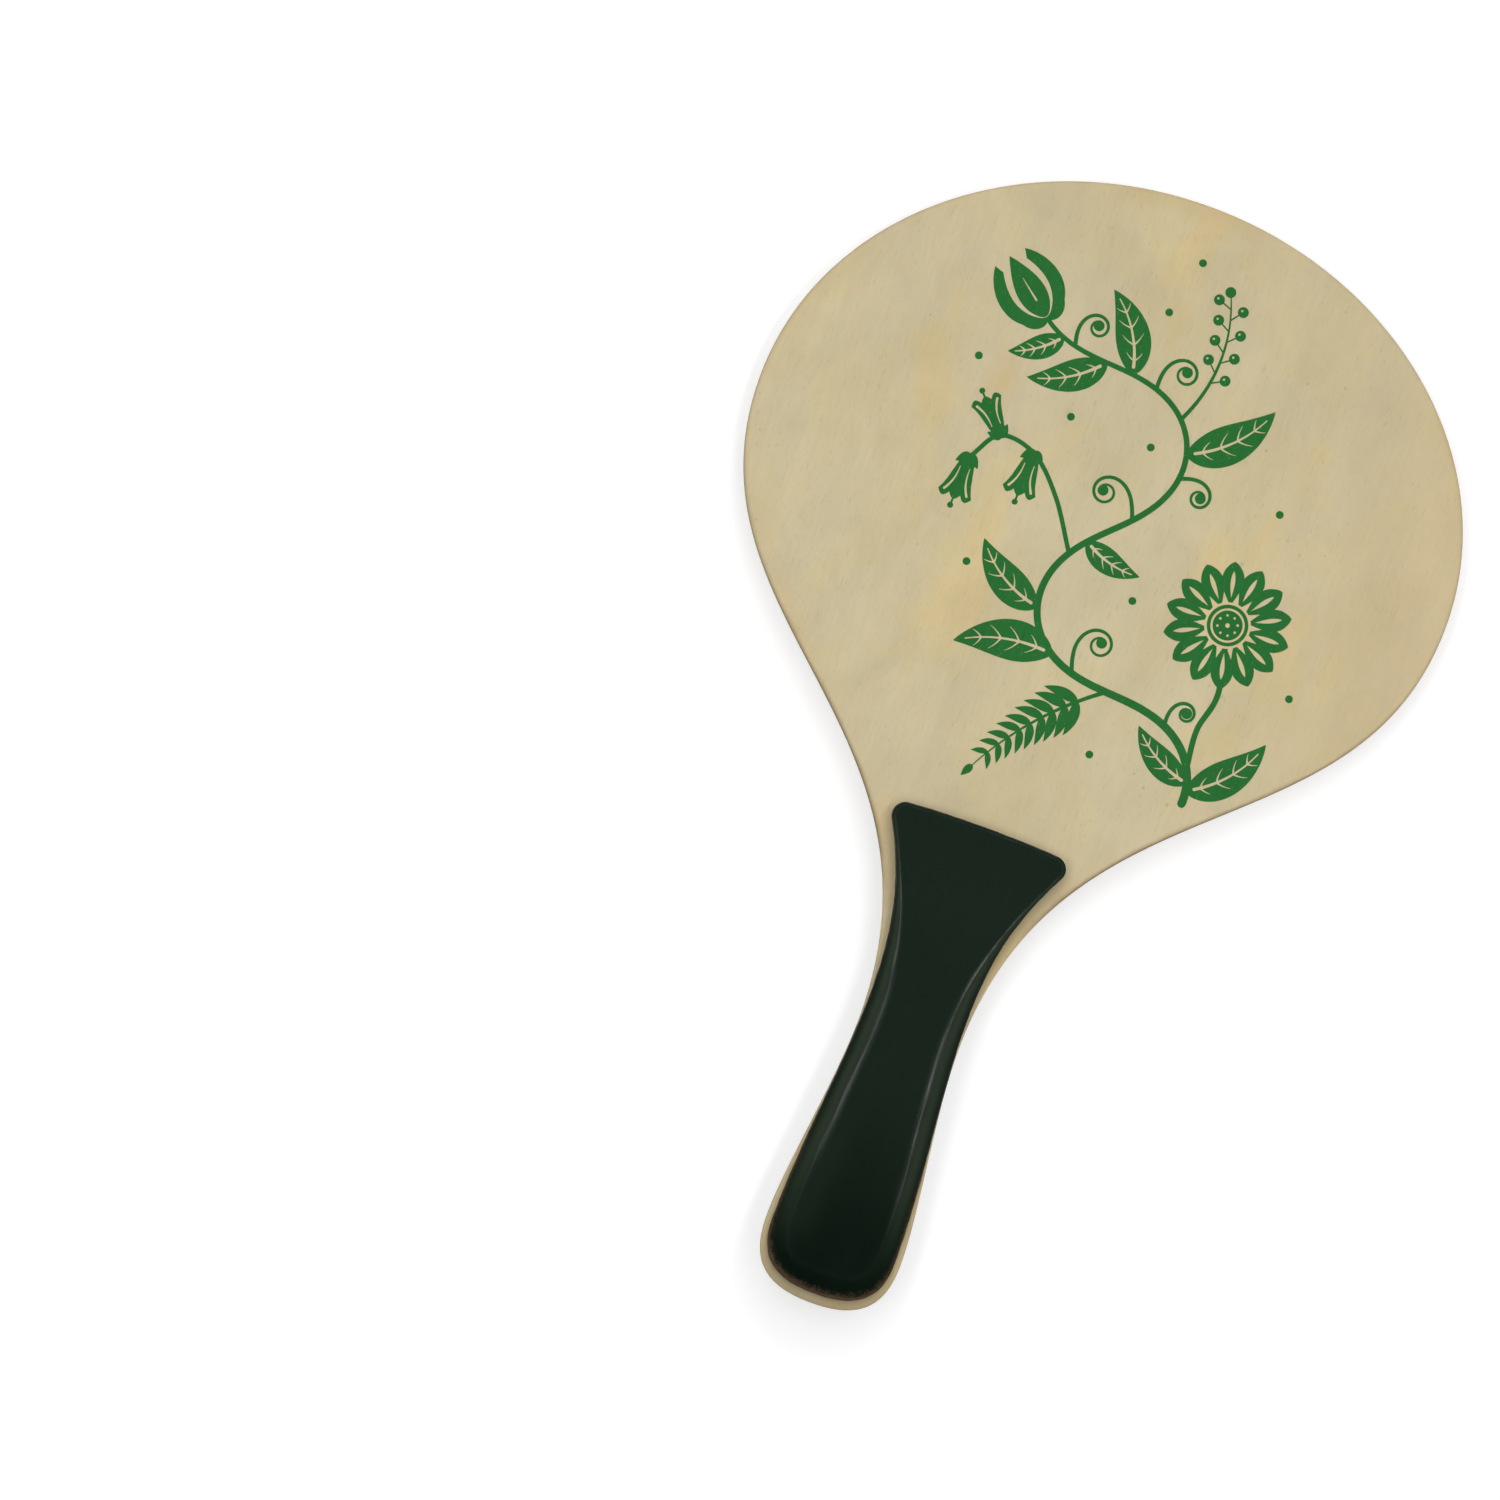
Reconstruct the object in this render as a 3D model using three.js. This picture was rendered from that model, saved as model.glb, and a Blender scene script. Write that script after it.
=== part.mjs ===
// A wooden beach bat for frescobol. Five wood plies, glued face to face, make its
// tear-drop blade, and a moulded grip scale is glued on each side of the handle.
// All lengths are in millimetres.
//
// The blade lies level. +Y runs from the butt to the crown of the head, +Z is the
// front, and z = 0 is the flat outer face of the back grip scale. The origin is on
// that face, where the middle of the hand lies.
import * as THREE from "three";
import { mergeVertices } from "three/addons/utils/BufferGeometryUtils.js";

// Blade outline. Places along the bat are measured from the butt.
const batLength = 380;
const headWidth = 238;
const headWidestAt = 278;
const waistWidth = 34;
const waistAt = 93;
const handWidth = 46.6;
const handWidestAt = 21.8;

// Plies, from the faces to the middle of the blade
const faceVeneerThickness = 1;
const crossBandThickness = 1.25;
const coreVeneerThickness = 1.5;
const rimEasing = 0.8;

// Grip scales: the wood of the blade that shows beside them, and their own shape
const scaleThickness = 8.5;
const marginAtButt = 3.6;
const marginAtHand = 2.3;
const marginAtWaist = 1.3;
const marginAtThroat = 8.3;
const scaleWaistPastBladeWaist = 11;
const throatCornerAt = 163.3;
const throatCornerAngle = THREE.MathUtils.degToRad(30.4);
const throatCornerRadius = 4;
const throatCrown = 1.4;

// Round-over of the outer edge of a scale, which runs out towards the throat
const roundAtThroat = 1;
const roundAtHand = 6;
const roundAtButt = 8;
const roundHeight = 6;
const roundRunsOutFrom = 92;
const roundRunsOutTo = 152;
const buttRoundEndsAt = 34;

// Glue under each scale, and how far it stays back from the scale's edge
const glueThickness = 0.25;
const glueSetBack = 0.4;

// Middle of the hand on the grip, which is the origin of the model
const holdPointAt = 75;

// Fullness of the curves: how far each end's handle reaches along the span
const buttFullness = [0.8, 0.6];
const handFullness = [0.26, 0.31];
const shoulderFullness = [0.54, 0.45];
const crownFullness = [0.5523, 0.5523];
const scaleButtFullness = [0.63, 0.77];
const scaleHandFullness = [0.35, 0.34];
const scaleFlareFullness = [0.45, 0.32];

// Fineness of the facets
const bladeFacet = 5;
const scaleFacet = 3;
const fewestFacets = 6;
const rimRings = 4;
const roundRings = 7;

const v2 = (x, y) => new THREE.Vector2(x, y);

// A quarter turn from level to upright, or back again, as one cubic
function quarterTurn(from, to, [fullnessX, fullnessY], levelFirst) {
  const dx = to.x - from.x;
  const dy = to.y - from.y;
  const [first, second] = levelFirst
    ? [v2(from.x + dx * fullnessX, from.y), v2(to.x, to.y - dy * fullnessY)]
    : [v2(from.x, from.y + dy * fullnessY), v2(to.x - dx * fullnessX, to.y)];
  return new THREE.CubicBezierCurve(from, first, second, to);
}

// A side stretch between two places where the outline runs along the bat
function sideCurve(from, to, [startFullness, endFullness]) {
  const dy = to.y - from.y;
  return new THREE.CubicBezierCurve(from, v2(from.x, from.y + dy * startFullness),
    v2(to.x, to.y - dy * endFullness), to);
}

// Right half of the blade's outline, from the butt to the crown
function bladeHalf() {
  const hand = v2(handWidth / 2, handWidestAt);
  const waist = v2(waistWidth / 2, waistAt);
  const head = v2(headWidth / 2, headWidestAt);
  return {
    butt: quarterTurn(v2(0, 0), hand, buttFullness, true),
    hand: sideCurve(hand, waist, handFullness),
    shoulder: sideCurve(waist, head, shoulderFullness),
    crown: quarterTurn(head, v2(0, batLength), crownFullness, false),
  };
}

// Half width of a rising curve at a place along the bat, found by halving
function halfWidthAt(curve, place) {
  let low = 0;
  let high = 1;
  for (let step = 0; step < 40; step += 1) {
    const middle = (low + high) / 2;
    if (curve.getPoint(middle).y < place) low = middle;
    else high = middle;
  }
  return curve.getPoint(low).x;
}

// Rounds the corner where one curve ends and the next begins
function filletedSpans(before, after, radius) {
  const turn = before.getTangentAt(1).angleTo(after.getTangentAt(0));
  const cutBack = radius * Math.tan(turn / 2);
  const stop = 1 - cutBack / before.getLength();
  const start = cutBack / after.getLength();
  const from = before.getPointAt(stop);
  const to = after.getPointAt(start);
  const reach = (4 / 3) * Math.tan(turn / 4) * radius;
  const fillet = new THREE.CubicBezierCurve(from,
    from.clone().addScaledVector(before.getTangentAt(stop), reach),
    to.clone().addScaledVector(after.getTangentAt(start), -reach), to);
  return [
    { curve: before, from: 0, to: stop },
    { curve: fillet, from: 0, to: 1 },
    { curve: after, from: start, to: 1 },
  ];
}

// Right half of a grip scale's outline, set in from the blade's by the margins
function scaleHalfSpans(blade) {
  const butt = v2(0, marginAtButt);
  const hand = v2(handWidth / 2 - marginAtHand, handWidestAt);
  const waistPlace = waistAt + scaleWaistPastBladeWaist;
  const waist = v2(halfWidthAt(blade.shoulder, waistPlace) - marginAtWaist, waistPlace);
  const corner = v2(halfWidthAt(blade.shoulder, throatCornerAt) - marginAtThroat, throatCornerAt);
  const rise = corner.y - waist.y;
  const cornerPull = rise * scaleFlareFullness[1];
  const flare = new THREE.CubicBezierCurve(waist, v2(waist.x, waist.y + rise * scaleFlareFullness[0]),
    v2(corner.x - cornerPull * Math.sin(throatCornerAngle),
      corner.y - cornerPull * Math.cos(throatCornerAngle)), corner);
  const throatTop = v2(0, corner.y + throatCrown);
  const throat = new THREE.QuadraticBezierCurve(corner, v2(corner.x / 2, throatTop.y), throatTop);
  return [
    { curve: quarterTurn(butt, hand, scaleButtFullness, true), from: 0, to: 1 },
    { curve: sideCurve(hand, waist, scaleHandFullness), from: 0, to: 1 },
    ...filletedSpans(flare, throat, throatCornerRadius),
  ];
}

// Whole outline, counterclockwise, as points that know which way is inwards
function wholeOutline(halfSpans, facet) {
  const half = [];
  halfSpans.forEach(({ curve, from, to }, index) => {
    const steps = Math.max(fewestFacets, Math.ceil((curve.getLength() * (to - from)) / facet));
    for (let step = index === 0 ? 0 : 1; step <= steps; step += 1) {
      const place = from + ((to - from) * step) / steps;
      const point = curve.getPointAt(place);
      const tangent = curve.getTangentAt(place);
      half.push({ x: point.x, y: point.y, inX: -tangent.y, inY: tangent.x });
    }
  });
  half[0].x = 0;
  half[half.length - 1].x = 0;
  const mirrored = half.slice(1, -1).reverse().map((p) => ({ ...p, x: -p.x, inX: -p.inX }));
  return [...half, ...mirrored];
}

// The outline moved inwards by insetOf(point) and lifted to heightOf(point)
function ring(outline, insetOf, heightOf) {
  return outline.map((p) => {
    const inset = insetOf(p);
    return new THREE.Vector3(p.x + p.inX * inset, p.y + p.inY * inset, heightOf(p));
  });
}

// The same rings with the underside up
function turnedOver(rings, thickness) {
  return rings.map((points) => points.map((p) => new THREE.Vector3(p.x, p.y, thickness - p.z)))
    .reverse();
}

// Closed solid through rings of equal count, from the lowest ring to the highest
function loft(rings) {
  const count = rings[0].length;
  const positions = rings.flat().flatMap((p) => [p.x, p.y, p.z]);
  const indices = [];
  for (let level = 0; level < rings.length - 1; level += 1) {
    for (let i = 0; i < count; i += 1) {
      const j = (i + 1) % count;
      const low = level * count;
      const high = low + count;
      indices.push(low + i, low + j, high + j, low + i, high + j, high + i);
    }
  }
  const capOf = (points) => THREE.ShapeUtils.triangulateShape(points.map((p) => v2(p.x, p.y)), []);
  const last = (rings.length - 1) * count;
  capOf(rings[0]).forEach(([a, b, c]) => indices.push(a, c, b));
  capOf(rings[rings.length - 1]).forEach(([a, b, c]) => indices.push(last + a, last + b, last + c));
  const geometry = new THREE.BufferGeometry();
  geometry.setAttribute("position", new THREE.Float32BufferAttribute(positions, 3));
  geometry.setIndex(indices);
  const solid = mergeVertices(geometry);
  solid.computeVertexNormals();
  return solid;
}

// A ply or film of even thickness, set in from the outline by the same amount all round
function plate(outline, thickness, inset = 0) {
  const setIn = () => inset;
  return loft([ring(outline, setIn, () => 0), ring(outline, setIn, () => thickness)]);
}

// A face veneer: a plate whose outer edge is eased to a quarter round
function faceVeneer(outline, isFront) {
  const rings = [ring(outline, () => 0, () => 0)];
  for (let step = 0; step <= rimRings; step += 1) {
    const angle = (Math.PI / 2) * (step / rimRings);
    const inset = rimEasing * (1 - Math.cos(angle));
    const height = faceVeneerThickness - rimEasing * (1 - Math.sin(angle));
    rings.push(ring(outline, () => inset, () => height));
  }
  return loft(isFront ? rings : turnedOver(rings, faceVeneerThickness));
}

// Width of a scale's round-over beside a place along the bat
function roundWidthAt(place) {
  const alongGrip = THREE.MathUtils.smoothstep(place, roundRunsOutFrom, roundRunsOutTo);
  const alongButt = THREE.MathUtils.smoothstep(place, marginAtButt, buttRoundEndsAt);
  const handPart = THREE.MathUtils.lerp(roundAtHand, roundAtThroat, alongGrip);
  return THREE.MathUtils.lerp(roundAtButt, handPart, alongButt);
}

// Height of the round-over there, which runs out with its width
function roundHeightAt(place) {
  const alongGrip = THREE.MathUtils.smoothstep(place, roundRunsOutFrom, roundRunsOutTo);
  return THREE.MathUtils.lerp(roundHeight, roundAtThroat, alongGrip);
}

// A grip scale: flat foot, upright wall, round-over of changing size and flat top
function gripScale(outline, isFront) {
  const rings = [ring(outline, () => 0, () => 0)];
  for (let step = 0; step <= roundRings; step += 1) {
    const angle = (Math.PI / 2) * (step / roundRings);
    rings.push(ring(outline,
      (p) => roundWidthAt(p.y) * (1 - Math.cos(angle)),
      (p) => scaleThickness - roundHeightAt(p.y) * (1 - Math.sin(angle))));
  }
  return loft(isFront ? rings : turnedOver(rings, scaleThickness));
}

// Colours and surfaces
const finishes = {
  faceWood: { color: 0xcabc94, roughness: 0.62, metalness: 0 },
  crossWood: { color: 0xb39b6c, roughness: 0.75, metalness: 0 },
  coreWood: { color: 0xc4b084, roughness: 0.75, metalness: 0 },
  glue: { color: 0x5a4630, roughness: 0.5, metalness: 0 },
  greenPaint: { color: 0x1b2820, roughness: 0.45, metalness: 0 },
};

const blade = bladeHalf();
const bladeOutline = wholeOutline(
  Object.values(blade).map((curve) => ({ curve, from: 0, to: 1 })), bladeFacet);
const scaleOutline = wholeOutline(scaleHalfSpans(blade), scaleFacet);

// Every layer from the back of the bat to its front: name, thickness, shape, finish
const layers = [
  ["back_grip_scale", scaleThickness, gripScale(scaleOutline, false), "greenPaint"],
  ["back_glue_film", glueThickness, plate(scaleOutline, glueThickness, glueSetBack), "glue"],
  ["back_face_veneer", faceVeneerThickness, faceVeneer(bladeOutline, false), "faceWood"],
  ["back_cross_band", crossBandThickness, plate(bladeOutline, crossBandThickness), "crossWood"],
  ["core_veneer", coreVeneerThickness, plate(bladeOutline, coreVeneerThickness), "coreWood"],
  ["front_cross_band", crossBandThickness, plate(bladeOutline, crossBandThickness), "crossWood"],
  ["front_face_veneer", faceVeneerThickness, faceVeneer(bladeOutline, true), "faceWood"],
  ["front_glue_film", glueThickness, plate(scaleOutline, glueThickness, glueSetBack), "glue"],
  ["front_grip_scale", scaleThickness, gripScale(scaleOutline, true), "greenPaint"],
];

const bat = new THREE.Group();
bat.position.y = -holdPointAt;
let height = 0;
for (const [name, thickness, geometry, finish] of layers) {
  const mesh = new THREE.Mesh(geometry, new THREE.MeshStandardMaterial(finishes[finish]));
  mesh.name = name;
  mesh.position.z = height;
  bat.add(mesh);
  height += thickness;
}

const model = new THREE.Group();
model.add(bat);
export default model;
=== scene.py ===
import math
from functools import partialmethod

import bpy
import numpy as np
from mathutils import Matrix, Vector
from mathutils.geometry import delaunay_2d_cdt


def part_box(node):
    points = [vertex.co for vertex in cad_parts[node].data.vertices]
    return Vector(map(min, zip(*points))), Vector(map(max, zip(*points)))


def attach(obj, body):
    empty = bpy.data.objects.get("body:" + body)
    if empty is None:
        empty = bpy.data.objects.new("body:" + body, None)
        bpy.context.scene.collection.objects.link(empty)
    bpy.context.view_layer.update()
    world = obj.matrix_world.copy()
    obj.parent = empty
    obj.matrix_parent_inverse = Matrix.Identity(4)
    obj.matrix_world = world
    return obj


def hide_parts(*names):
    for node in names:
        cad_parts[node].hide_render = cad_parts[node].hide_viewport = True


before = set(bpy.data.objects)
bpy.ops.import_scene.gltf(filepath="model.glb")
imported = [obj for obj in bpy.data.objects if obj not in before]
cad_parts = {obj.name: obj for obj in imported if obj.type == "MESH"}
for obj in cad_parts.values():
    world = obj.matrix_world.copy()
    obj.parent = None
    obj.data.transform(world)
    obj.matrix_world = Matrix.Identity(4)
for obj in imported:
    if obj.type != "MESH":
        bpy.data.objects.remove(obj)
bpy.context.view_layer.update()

bl_info = {
    "name": "Wooden Beach Bat",
    "version": (1, 0, 0),
    "blender": (4, 5, 0),
    "location": "3D View > Sidebar > Beach Bat",
    "description": "Builds a plywood beach bat with glued grip scales and a printed plant scroll",
    "category": "Add Mesh",
}

MM = 0.001
BUTT_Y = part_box("core_veneer")[0].y
BLADE_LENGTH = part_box("core_veneer")[1].y - BUTT_Y
HEAD_WIDTH = 2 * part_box("core_veneer")[1].x
BACK_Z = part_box("back_face_veneer")[0].z
FRONT_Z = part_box("front_face_veneer")[1].z
PLIES = ("back_cross_band", "core_veneer", "front_cross_band")
BLADE_STEP, SCALE_STEP = 1.0 * MM, 0.6 * MM    # gaps between the points of an outline
SIDES = ("front", "back")

# Seeds of each scale's wander, of its facets and of its glue bead
SEEDS = {"front": {"wander": 4, "facets": 12, "bead": 2}, "back": {"wander": 9, "facets": 15, "bead": 6}}


def length(name, description, default):
    """A length property in metres."""
    return bpy.props.FloatProperty(name=name, description=description, default=default,
                                   unit="LENGTH", subtype="DISTANCE", precision=4)


def colour(name, description, *parts):
    """A colour property in linear light, from display parts that run from 0 to 255."""
    share = np.array(parts) / 255
    linear = np.where(share <= 0.04045, share / 12.92, ((share + 0.055) / 1.055) ** 2.4)
    return bpy.props.FloatVectorProperty(name=name, description=description,
                                         default=linear.tolist(), subtype="COLOR", size=3,
                                         min=0, max=1)


def angle(name, description, degrees):
    """An angle property in radians, from degrees."""
    return bpy.props.FloatProperty(name=name, description=description,
                                   default=math.radians(degrees), subtype="ANGLE", unit="ROTATION")


def power(name, description, watts):
    """A lamp's power."""
    return bpy.props.FloatProperty(name=name, description=description, default=watts, unit="POWER")


class BladeSizes(bpy.types.PropertyGroup):
    """Outline of the blade. Places along the bat are measured from the butt."""
    length: length("Length", "Butt to crown", BLADE_LENGTH)
    head_width: length("Head width", "Widest part of the head", HEAD_WIDTH)
    head_place: length("Head place", "Where the head is widest", 0.278)
    waist_width: length("Waist width", "Narrowest part of the handle", 0.034)
    waist_place: length("Waist place", "Where the handle is narrowest", 0.093)
    hand_width: length("Hand width", "Widest part of the handle", 0.0466)
    hand_place: length("Hand place", "Where the handle is widest", 0.0218)
    rim_easing: length("Rim easing", "Radius of the eased rim of each face", 0.0008)
    ply_groove: length("Ply groove", "Depth of the groove sanded at each glue line", 0.00005)


class GripSizes(bpy.types.PropertyGroup):
    """Grip scales: the wood that shows beside them, and their round-over."""
    butt_margin: length("Butt margin", "Blade that shows at the butt", 0.0036)
    hand_margin: length("Hand margin", "Blade that shows beside the hand", 0.0023)
    waist_margin: length("Waist margin", "Blade that shows beside the waist", 0.0013)
    throat_margin: length("Throat margin", "Blade that shows beside the corners", 0.0083)
    waist_shift: length("Waist shift", "Scale's waist beyond the blade's waist", 0.011)
    corner_place: length("Corner place", "Where the throat corners would meet", 0.1633)
    corner_angle: angle("Corner angle", "Lean of the sides at the throat corners", 30.4)
    corner_radius: length("Corner radius", "Rounding of the throat corners", 0.004)
    throat_crown: length("Throat crown", "Rise of the throat edge in its middle", 0.0014)
    round_throat: length("Throat rounding", "Round-over at the throat", 0.001)
    round_hand: length("Hand rounding", "Width of the round-over at the hand", 0.006)
    round_butt: length("Butt rounding", "Width of the round-over at the butt", 0.008)
    round_height: length("Rounding height", "Height of the round-over", 0.006)
    runout_from: length("Run-out starts", "Where the round-over starts to run out", 0.092)
    runout_to: length("Run-out ends", "Where the round-over has run out", 0.152)
    butt_round_to: length("Butt rounding ends", "Where the butt's wider rounding ends", 0.034)
    facet_depth: length("Facet depth", "Depth of the facets that sanding left", 0.00003)
    bead_radius: length("Glue bead", "Radius of the glue squeezed out round the foot", 0.00032)


class PrintSizes(bpy.types.PropertyGroup):
    """Place of the printed scroll on the front face."""
    across: length("Across", "Middle of the print from the bat's middle line", 0.0074)
    along: length("Along", "Middle of the print from the butt", 0.2737)
    lean: angle("Lean", "Turn of the print against the bat's length", 20.03)
    film: length("Ink thickness", "Thickness of the ink film", 0.00004)


class Finishes(bpy.types.PropertyGroup):
    """Colours of wood, ink, paint and glue."""
    veneer: colour("Veneer", "Face veneer", 202, 187, 145)
    veneer_warm: colour("Warm veneer", "Warm patches of the veneer", 208, 187, 136)
    veneer_pale: colour("Pale veneer", "Pale patches of the veneer", 202, 188, 151)
    veneer_rubbed: colour("Rubbed veneer", "Rubbed rims and knots", 204, 178, 126)
    # Also the colour of the painted shade towards the butt, the crown and the head's +X side
    veneer_dark: colour("Dark veneer", "Specks, stains and worn rims", 112, 82, 44)
    cross_band: colour("Cross band", "End grain of the inner plies", 172, 142, 96)
    core: colour("Core", "Middle ply", 194, 172, 124)
    ink: colour("Ink", "Green printing ink", 18, 104, 36)
    paint: colour("Paint", "Dark green grip paint", 7, 20, 12)
    # Also the lit end of the painted sheen gradient along the grip
    paint_dry_and_lit: colour("Dry paint", "Grip paint that is dry, or rubbed by the palm", 22, 36, 26)
    # A painted reflection: the lighter slopes of the grip's shoulders
    paint_slope_sheen: colour("Dusty paint", "Grip paint down the slopes of its shoulders", 41, 52, 39)
    glue: colour("Glue", "Dry glue and dirt round the feet of the grips", 80, 62, 43)
    worn_wood: colour("Worn wood", "Stained wood where the paint is worn off", 102, 83, 62)


class StageSettings(bpy.types.PropertyGroup):
    """Floor, lamps and camera."""
    floor_size: length("Floor size", "Side of the square floor", 12.0)
    camera_height: length("Camera height", "Camera above the front face", 4.0)
    frame_width: length("Frame width", "Width of the picture at the front face", 0.4885)
    frame_x: length("Frame X", "Middle of the picture across the bat", -0.0803)
    frame_y: length("Frame Y", "Middle of the picture along the bat", 0.0874)
    bat_lean: angle("Bat lean", "Clockwise lean of the bat in the picture", 20.03)
    sky: bpy.props.FloatProperty(name="Sky", description="Light from near the horizon", default=0.5)
    head_power: power("Head lamp", "Lamp beyond the head", 42.0)
    side_power: power("Side lamps", "Power of each side lamp", 9.6)


# Outlines

LEVEL, UPRIGHT = np.array([1, 0]), np.array([0, 1])
ROUND = (0.5523, 0.5523)    # handles that make a quarter of an ellipse


def cubic(a, b, c, d, count=400):
    """Points (1-u)^3 a + 3(1-u)^2 u b + 3(1-u) u^2 c + u^3 d for even u from 0 to 1."""
    a, b, c, d = (np.array(point, float) for point in (a, b, c, d))
    u = np.linspace(0, 1, count)[:, None]
    return (1 - u) ** 3 * a + 3 * (1 - u) ** 2 * u * b + 3 * (1 - u) * u ** 2 * c + u ** 3 * d


def curve(start, leaving, end, arriving, fullness):
    """One cubic whose two handles lie level or upright, each as long as its share of the step from
    start to end."""
    start, end = np.array(start, float), np.array(end, float)
    step = end - start
    return cubic(start, start + step * leaving * fullness[0], end - step * arriving * fullness[1],
                 end)


def distances(path):
    """Distance along a path at each of its points."""
    return np.append(0, np.cumsum(np.linalg.norm(np.diff(path, axis=0), axis=1)))


def spaced(path, gap):
    """The path again with even steps of about the given gap, by its length."""
    run = distances(path)
    places = np.linspace(0, run[-1], int(np.ceil(run[-1] / gap)) + 1)
    return np.column_stack([np.interp(places, run, column) for column in path.T])


def tangents(path):
    """Unit directions along a path."""
    steps = np.gradient(path, axis=0)
    return steps / np.linalg.norm(steps, axis=1)[:, None]


def mirrored(half):
    """Closed counterclockwise outline from its right half, with unit normals that point inwards."""
    along = tangents(half)
    along[0], along[-1] = (1, 0), (-1, 0)
    inward = np.column_stack([-along[:, 1], along[:, 0]])
    flip = np.array([-1, 1])
    return (np.vstack([half, half[-2:0:-1] * flip]), np.vstack([inward, inward[-2:0:-1] * flip]))


def blade_spans(sizes):
    """Right half of the blade: butt, hand, shoulder and crown, each one cubic."""
    hand = (sizes.hand_width / 2, sizes.hand_place)
    waist = (sizes.waist_width / 2, sizes.waist_place)
    head = (sizes.head_width / 2, sizes.head_place)
    return (curve((0, 0), LEVEL, hand, UPRIGHT, (0.8, 0.6)),
            curve(hand, UPRIGHT, waist, UPRIGHT, (0.26, 0.31)),
            curve(waist, UPRIGHT, head, UPRIGHT, (0.54, 0.45)),
            curve(head, UPRIGHT, (0, sizes.length), LEVEL, ROUND))


def half_path(spans, gap):
    """Spans joined end to end, evenly spaced, with both ends on the middle line."""
    joined = np.vstack([spans[0]] + [span[1:] for span in spans[1:]])
    half = spaced(joined, gap)
    half[[0, -1], 0] = 0
    return half


def filleted(before, after, radius):
    """Two paths whose corner is rounded: both are cut back by radius * tan(turn / 2), and a cubic
    with handles of 4/3 tan(turn / 4) * radius joins them."""
    arriving, leaving = tangents(before)[-1], tangents(after)[0]
    turn = math.acos(float(arriving @ leaving))
    cut = radius * math.tan(turn / 2)
    before = before[distances(before) < distances(before)[-1] - cut]
    after = after[distances(after) > cut]
    reach = 4 / 3 * math.tan(turn / 4) * radius
    start, end = before[-1], after[0]
    bend = cubic(start, start + tangents(before)[-1] * reach, end - tangents(after)[0] * reach, end)
    return np.vstack([before, bend[1:-1], after])


def scale_spans(blade, grip):
    """Right half of a grip scale, set in from the blade's outline by the margins."""
    shoulder = blade_spans(blade)[2]
    waist_place = blade.waist_place + grip.waist_shift
    half_width = np.interp([waist_place, grip.corner_place], shoulder[:, 1], shoulder[:, 0])
    butt = (0, grip.butt_margin)
    hand = (blade.hand_width / 2 - grip.hand_margin, blade.hand_place)
    waist = np.array([half_width[0] - grip.waist_margin, waist_place])
    corner = np.array([half_width[1] - grip.throat_margin, grip.corner_place])
    rise = corner[1] - waist[1]
    lean = np.array([math.sin(grip.corner_angle), math.cos(grip.corner_angle)])
    flare = cubic(waist, waist + (0, rise * 0.45), corner - rise * 0.32 * lean, corner)
    top = corner[1] + grip.throat_crown
    throat = cubic(corner, corner + np.array([-corner[0] / 3, grip.throat_crown * 2 / 3]),
                   (corner[0] / 3, top), (0, top))
    return (curve(butt, LEVEL, hand, UPRIGHT, (0.63, 0.77)),
            curve(hand, UPRIGHT, waist, UPRIGHT, (0.35, 0.34)),
            filleted(flare, throat, grip.corner_radius))


def ring(outline, inset, height):
    """The outline moved inwards by inset and lifted to height; y is counted from the origin."""
    points, inward = outline
    moved = points + inward * np.broadcast_to(inset, len(points))[:, None]
    return np.column_stack([moved[:, 0], moved[:, 1] + BUTT_Y,
                            np.broadcast_to(height, len(points))])


# Meshes

def added(name, data):
    """A new object in the scene."""
    made = bpy.data.objects.new(name, data)
    bpy.context.scene.collection.objects.link(made)
    return made


def finished(name, points, faces, sharp=math.radians(40)):
    """A smooth-shaded object from points and faces, riding on the bat."""
    mesh = bpy.data.meshes.new(name)
    mesh.from_pydata(points.tolist(), [], faces)
    mesh.validate()
    mesh.shade_smooth()
    mesh.set_sharp_from_angle(angle=sharp)
    piece = added(name, mesh)
    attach(piece, "root")
    return piece


def walls(levels, count):
    """Quads between neighbouring rings of a stack, closed round each ring."""
    here = np.arange(levels * count).reshape(levels, count)
    there = np.roll(here, -1, axis=1)
    return np.stack([here[:-1], there[:-1], there[1:], here[1:]], axis=-1).reshape(-1, 4)


def lid(count):
    """Strips across a mirrored ring: point i of the right side meets point count - i."""
    top = count // 2
    i = np.arange(1, top - 1)
    strips = np.column_stack([i, i + 1, count - i - 1, count - i]).tolist()
    return [[0, 1, count - 1]] + strips + [[top - 1, top, top + 1]]


def lofted(name, rings, label, values):
    """A closed body through mirrored rings stacked upwards, with a value for each ring, or for
    each of its points, kept as an attribute."""
    rings = np.asarray(rings)
    levels, count, _ = rings.shape
    last = (levels - 1) * count
    closing = lid(count)
    faces = walls(levels, count).tolist()
    faces += [face[::-1] for face in closing]
    faces += [[last + point for point in face] for face in closing]
    piece = finished(name, rings.reshape(-1, 3), faces)
    kept = np.concatenate([np.broadcast_to(value, count) for value in values])
    attribute = piece.data.attributes.new(label, "FLOAT", "POINT")
    attribute.data.foreach_set("value", kept)
    return piece


def sine_sum(places, waves, seed):
    """Even wobble between -1 and 1 round a closed path: a sum of whole waves with fixed phases."""
    phases = np.random.default_rng(seed).uniform(0, 2 * math.pi, len(waves))
    return sum(np.sin(2 * math.pi * wave * places + phase)
               for wave, phase in zip(waves, phases)) / len(waves)


def sanded(turn, places, seed):
    """Facets that sanding leaves on a round-over, 0 at its ends: sin(2t)^0.3 sin(14t + drift), for
    the turn t across it, drifting and fading with the place along it."""
    drift = 6 * sine_sum(places, (2, 5, 9), seed)
    strength = 0.65 + 0.35 * sine_sum(places, (4, 7, 13, 29), seed + 1)
    return strength * max(math.sin(2 * turn), 0) ** 0.3 * np.sin(14 * turn + drift)


# Shader helpers

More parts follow.
